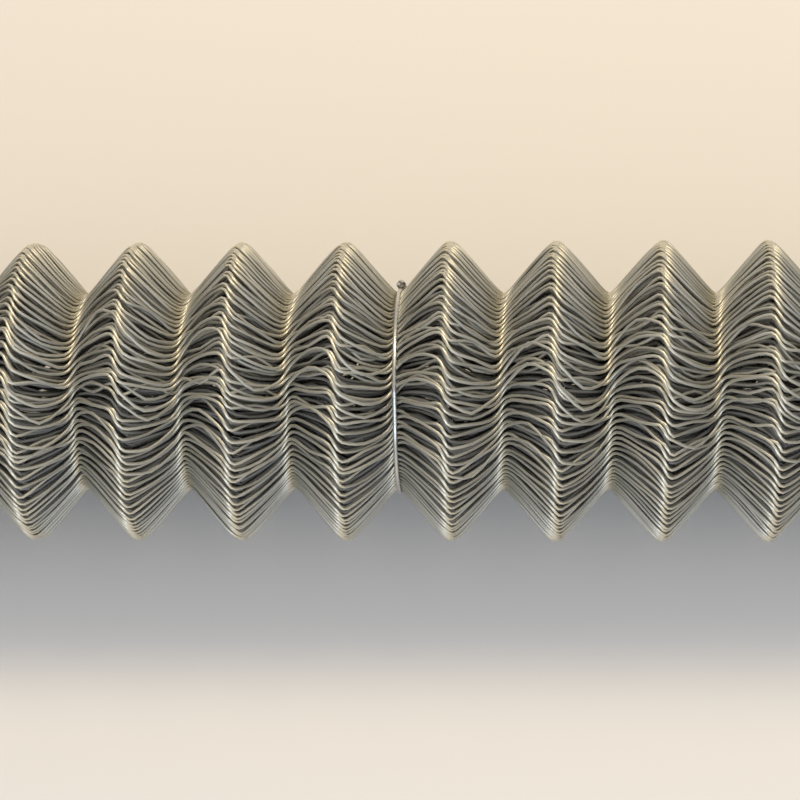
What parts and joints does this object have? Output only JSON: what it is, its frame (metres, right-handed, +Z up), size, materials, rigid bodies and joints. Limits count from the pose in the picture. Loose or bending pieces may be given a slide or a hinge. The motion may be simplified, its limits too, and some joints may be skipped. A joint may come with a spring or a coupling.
{
  "type": "chain-link mesh fence roll",
  "caption": "Compact roll of galvanised chain-link fence mesh lying on its side, held by three wire ties.",
  "frame": {"origin": "on the level plane under the roll, halfway along it, straight below the roll's axis", "axes": "+X along the roll's axis, +Z up; the mesh's free end lies on top, on the -Y side of the crown"},
  "size_m": [0.9053, 0.2133, 0.2143],
  "materials": {
    "galvanised_mesh": "satin",
    "tie_wire": "satin"
  },
  "bodies": {
    "root": {"inner_turns_01": "galvanised_mesh", "inner_turns_02": "galvanised_mesh", "inner_turns_03": "galvanised_mesh", "inner_turns_04": "galvanised_mesh", "inner_turns_05": "galvanised_mesh", "inner_turns_06": "galvanised_mesh", "inner_turns_07": "galvanised_mesh", "inner_turns_08": "galvanised_mesh", "inner_turns_09": "galvanised_mesh", "inner_turns_10": "galvanised_mesh", "inner_turns_11": "galvanised_mesh", "inner_turns_12": "galvanised_mesh", "outer_strands_01": "galvanised_mesh", "outer_strands_02": "galvanised_mesh", "outer_strands_03": "galvanised_mesh", "outer_strands_04": "galvanised_mesh", "outer_strands_05": "galvanised_mesh", "outer_strands_06": "galvanised_mesh", "outer_strands_07": "galvanised_mesh", "outer_strands_08": "galvanised_mesh", "outer_strands_09": "galvanised_mesh", "outer_strands_10": "galvanised_mesh", "outer_strands_11": "galvanised_mesh", "outer_strands_12": "galvanised_mesh", "outer_strands_13": "galvanised_mesh", "outer_strands_14": "galvanised_mesh", "outer_strands_15": "galvanised_mesh", "outer_strands_16": "galvanised_mesh", "outer_strands_17": "galvanised_mesh", "outer_strands_18": "galvanised_mesh", "outer_strands_19": "galvanised_mesh", "outer_strands_20": "galvanised_mesh", "outer_strands_21": "galvanised_mesh", "tie_1": "tie_wire", "tie_2": "tie_wire", "tie_3": "tie_wire", "tie_twist_1": "tie_wire", "tie_twist_2": "tie_wire", "tie_twist_3": "tie_wire"}
  },
  "joints": []
}
